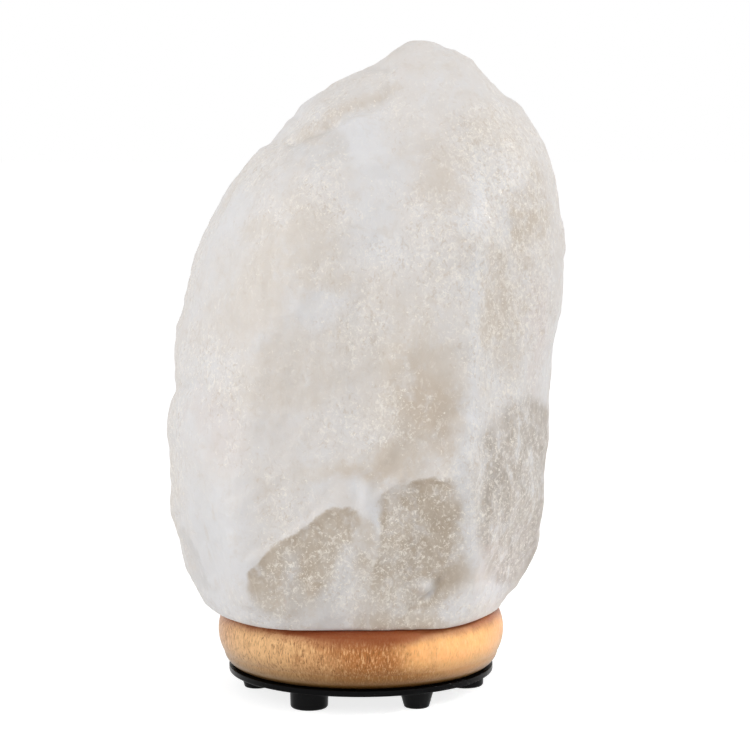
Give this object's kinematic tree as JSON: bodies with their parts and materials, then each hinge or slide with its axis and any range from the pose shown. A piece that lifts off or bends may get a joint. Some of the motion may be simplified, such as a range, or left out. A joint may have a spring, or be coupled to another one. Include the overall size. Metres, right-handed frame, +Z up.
{
  "type": "salt crystal lamp",
  "caption": "Table lamp made of a hewn block of pale rock salt on a turned wooden base with a black footed plate, lit by a small screw bulb in a pull-out lampholder.",
  "frame": {"origin": "on the table plane, on the axis of the turned base and of the bore", "axes": "+Z up, -Y towards the front of the lamp, +X to the right seen from the front"},
  "size_m": [0.1502, 0.1219, 0.2466],
  "materials": {
    "salt": "satin",
    "turned_wood": "satin",
    "black_plate": "gloss",
    "black_feet": "satin",
    "zinc_steel": "satin",
    "plug_plastic": "matte",
    "holder_plastic": "satin",
    "contact_brass": "satin",
    "screw_steel": "satin",
    "spring_wire": "polished",
    "solder": "satin",
    "insulator_glass": "gloss",
    "clear_glass": "gloss",
    "lead_wire": "satin"
  },
  "bodies": {
    "base": {"salt_crystal": "salt", "wood_base": "turned_wood", "base_plate": "black_plate", "straight_feet": "black_feet", "tapered_feet": "black_feet", "foot_washers": "zinc_steel", "plate_screws": "zinc_steel", "salt_screws": "zinc_steel", "salt_plugs": "plug_plastic"},
    "lampholder": {"holder_shell": "holder_plastic", "holder_cap": "holder_plastic", "holder_nut": "zinc_steel", "thread_sleeve": "contact_brass", "centre_contact": "contact_brass", "contact_rivets": "contact_brass", "terminals": "contact_brass", "terminal_screws": "screw_steel", "clip_bracket": "zinc_steel"},
    "left_wing": {"clip_wire_left": "spring_wire"},
    "right_wing": {"clip_wire_right": "spring_wire"},
    "bulb_tip": {"bulb_contact": "solder"},
    "bulb": {"bulb_insulator": "insulator_glass", "bulb_cap": "contact_brass", "bulb_glass": "clear_glass", "bulb_stem": "clear_glass", "bulb_leads": "lead_wire", "bulb_filament": "lead_wire"}
  },
  "joints": [
    {"name": "lampholder_pull", "type": "slide", "parent": "base", "child": "lampholder", "axis": [0, 0, -1], "range_m": [0, 0.1]},
    {"name": "left_wing_squeeze", "type": "hinge", "parent": "lampholder", "child": "left_wing", "pos_m": [-0.0161, 0, 0.017], "axis": [0, 1, 0], "range_deg": [0, 11], "stiffness_Nm_per_rad": 0.05, "springref_deg": -28.65},
    {"name": "right_wing_squeeze", "type": "hinge", "parent": "lampholder", "child": "right_wing", "pos_m": [0.0161, 0, 0.017], "axis": [0, -1, 0], "range_deg": [0, 11], "stiffness_Nm_per_rad": 0.05, "springref_deg": -28.65},
    {"name": "bulb_advance", "type": "slide", "parent": "lampholder", "child": "bulb_tip", "axis": [0, 0, 1], "range_m": [0, 0.0114]},
    {"name": "bulb_unscrew", "type": "hinge", "parent": "bulb_tip", "child": "bulb", "pos_m": [0, 0, 0.045], "axis": [0, 0, 1], "range_deg": [0, 1440]}
  ],
  "couplings": [
    {"joint": "bulb_advance", "follows": "bulb_unscrew", "m_per_rad": 0.00044882}
  ]
}
